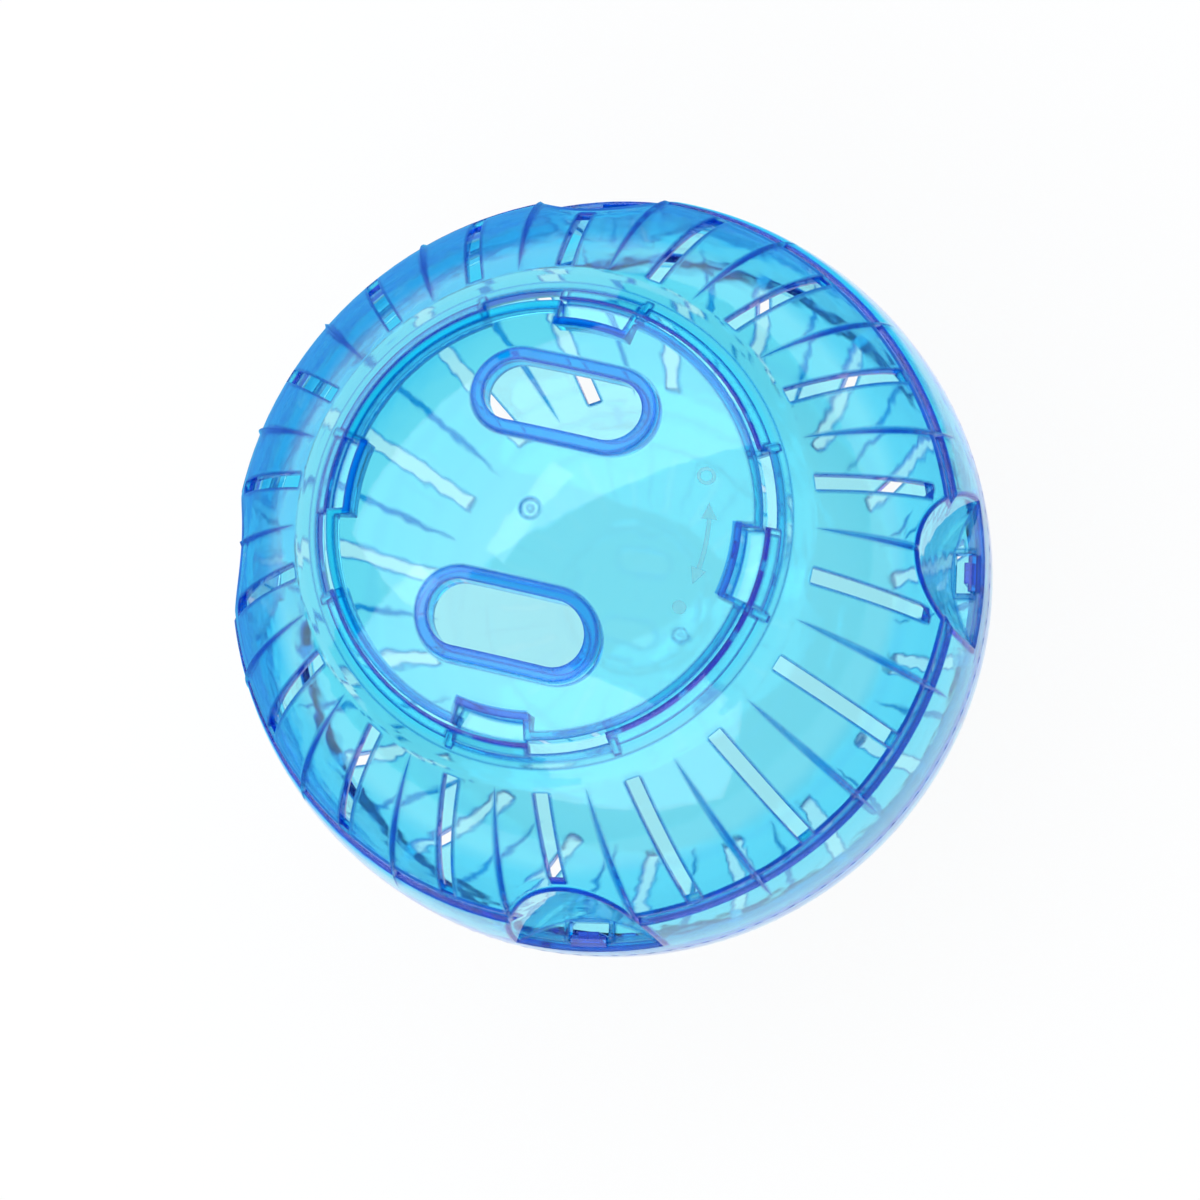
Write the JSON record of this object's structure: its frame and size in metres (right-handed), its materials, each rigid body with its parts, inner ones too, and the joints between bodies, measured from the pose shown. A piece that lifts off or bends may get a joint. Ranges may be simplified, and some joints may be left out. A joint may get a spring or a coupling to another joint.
{
  "type": "hamster ball",
  "caption": "Clear blue run-about ball for a hamster: two slotted half shells snapped together at a smooth belt, with a twist-lock lid and thumb latches.",
  "frame": {"origin": "centre of the ball, on the seam plane between the two half shells", "axes": "+Z out of the lid along the axis on which it turns, +X towards the right-hand thumb latch, +Y towards the top one"},
  "size_m": [0.14, 0.14, 0.14],
  "materials": {
    "clear_blue_plastic": "clear moulded polystyrene, glossy"
  },
  "bodies": {
    "shell": {"front_shell": "clear_blue_plastic", "back_shell": "clear_blue_plastic"},
    "lid": {"lid": "clear_blue_plastic"},
    "latch_right": {"latch_right": "clear_blue_plastic"},
    "latch_top": {"latch_top": "clear_blue_plastic"},
    "latch_left": {"latch_left": "clear_blue_plastic"},
    "latch_bottom": {"latch_bottom": "clear_blue_plastic"}
  },
  "joints": [
    {"name": "lid_turn", "type": "hinge", "parent": "shell", "child": "lid", "pos_m": [0, 0, 0], "axis": [0, 0, 1], "range_deg": [0, 20.5]},
    {"name": "latch_right_press", "type": "hinge", "parent": "shell", "child": "latch_right", "pos_m": [0.06624, 0, -0.006], "axis": [0, -1, 0], "range_deg": [0, 7], "stiffness_Nm_per_rad": 0.65},
    {"name": "latch_top_press", "type": "hinge", "parent": "shell", "child": "latch_top", "pos_m": [0, 0.06624, -0.006], "axis": [1, 0, 0], "range_deg": [0, 7], "stiffness_Nm_per_rad": 0.65},
    {"name": "latch_left_press", "type": "hinge", "parent": "shell", "child": "latch_left", "pos_m": [-0.06624, 0, -0.006], "axis": [0, 1, 0], "range_deg": [0, 7], "stiffness_Nm_per_rad": 0.65},
    {"name": "latch_bottom_press", "type": "hinge", "parent": "shell", "child": "latch_bottom", "pos_m": [0, -0.06624, -0.006], "axis": [-1, 0, 0], "range_deg": [0, 7], "stiffness_Nm_per_rad": 0.65}
  ]
}
